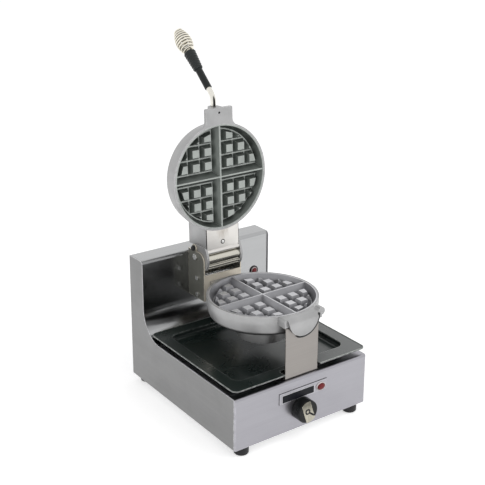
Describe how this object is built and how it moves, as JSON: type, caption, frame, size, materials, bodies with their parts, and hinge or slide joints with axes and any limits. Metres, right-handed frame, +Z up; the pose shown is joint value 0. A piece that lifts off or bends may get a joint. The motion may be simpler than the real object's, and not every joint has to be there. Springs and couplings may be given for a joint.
{
  "type": "waffle maker",
  "caption": "Round hinged waffle maker with pegged grids, a coil-wire lid handle, a drip tray and a steel base with a rear tower.",
  "frame": {"origin": "bottom centre of the box round the open machine, in the plane that the feet stand on", "axes": "+Z up, +Y towards the tower at the back, +X to the right seen from the front"},
  "size_m": [0.286, 0.4065, 0.6542],
  "materials": {
    "panel_steel": "brushed stainless steel, light",
    "deck_steel": "brushed stainless steel",
    "tower_steel": "brushed stainless steel, reflecting a dark room",
    "pan_steel": "plain steel",
    "foot_rubber": "matt black rubber",
    "screw_metal": "bright plated steel",
    "dark_screw": "blackened steel",
    "tray_finish": "dark non-stick coat, satin",
    "strap_steel": "brushed stainless steel, warm",
    "bracket_steel": "brushed stainless steel",
    "casting": "satin cast aluminium",
    "lower_grid_metal": "satin cast aluminium",
    "upper_grid_metal": "seasoned cast aluminium, grey green",
    "element_metal": "dark oxidised sheath",
    "insulation": "mineral wool pad",
    "barrel_steel": "polished steel, warm",
    "cover_steel": "satin steel, light",
    "lead_sleeve": "braided sleeve, dark",
    "handle_chrome": "bright chrome",
    "handle_black": "black vinyl sleeve",
    "plate_steel": "brushed plate",
    "nameplate_black": "black enamel",
    "bezel_pale": "pale bezel",
    "bezel_black": "black bezel",
    "lamp_red": "red lens",
    "knob_black": "black phenolic",
    "insert_metal": "bright metal insert",
    "thermostat_case": "moulded case",
    "copper": "copper tube",
    "block_white": "ceramic block"
  },
  "bodies": {
    "base": {"left_side_panel": "panel_steel", "right_side_panel": "panel_steel", "front_panel": "panel_steel", "deck_plate": "deck_steel", "tower_front_sheet": "tower_steel", "rear_cover": "panel_steel", "rear_cover_screws": "screw_metal", "bottom_pan": "pan_steel", "feet": "foot_rubber", "foot_screws": "screw_metal", "front_strap": "strap_steel", "strap_screws": "screw_metal", "hinge_bracket": "bracket_steel", "bracket_spacers": "screw_metal", "bracket_side_bolts": "screw_metal", "bracket_tower_bolts": "screw_metal", "hinge_pin": "screw_metal", "hinge_pin_clip": "screw_metal", "lid_stop": "foot_rubber", "lower_housing": "casting", "lower_grid": "lower_grid_metal", "lower_grid_screws": "screw_metal", "lower_element": "element_metal", "lower_insulation": "insulation", "lower_cover": "casting", "lower_cover_screws": "screw_metal", "backing_plate": "plate_steel", "nameplate": "nameplate_black", "front_lamp_bezel": "bezel_pale", "front_lamp_lens": "lamp_red", "tower_lamp_bezel": "bezel_black", "tower_lamp_lens": "lamp_red", "thermostat": "thermostat_case", "thermostat_nut": "screw_metal", "capillary_bulb": "copper", "terminal_block": "block_white", "base_wires": "lead_sleeve", "cord_gland": "foot_rubber"},
    "lid": {"upper_housing": "casting", "upper_grid": "upper_grid_metal", "upper_grid_screws": "screw_metal", "upper_element": "element_metal", "upper_insulation": "insulation", "upper_cover": "casting", "upper_cover_screws": "screw_metal", "lid_neck": "casting", "hinge_barrel": "barrel_steel", "neck_cover": "cover_steel", "neck_screw": "screw_metal", "lid_leads": "lead_sleeve", "handle_rod": "handle_chrome", "handle_set_screw": "dark_screw", "handle_sleeve": "handle_black", "handle_grip": "handle_black", "handle_coil": "handle_chrome"},
    "thermostat_dial": {"knob": "knob_black", "knob_insert": "insert_metal", "knob_pointer": "nameplate_black", "thermostat_shaft": "screw_metal"},
    "tray": {"drip_tray": "tray_finish"}
  },
  "joints": [
    {"name": "lid_hinge", "type": "hinge", "parent": "base", "child": "lid", "pos_m": [0, 0.085, 0.2517], "axis": [1, 0, 0], "range_deg": [0, 92.4]},
    {"name": "thermostat_turn", "type": "hinge", "parent": "base", "child": "thermostat_dial", "pos_m": [-0.004, -0.1937, 0.053], "axis": [0, 1, 0], "range_deg": [-135, 150]},
    {"name": "tray_lift", "type": "slide", "parent": "base", "child": "tray", "axis": [0, 0, 1], "range_m": [0, 0.03]}
  ]
}
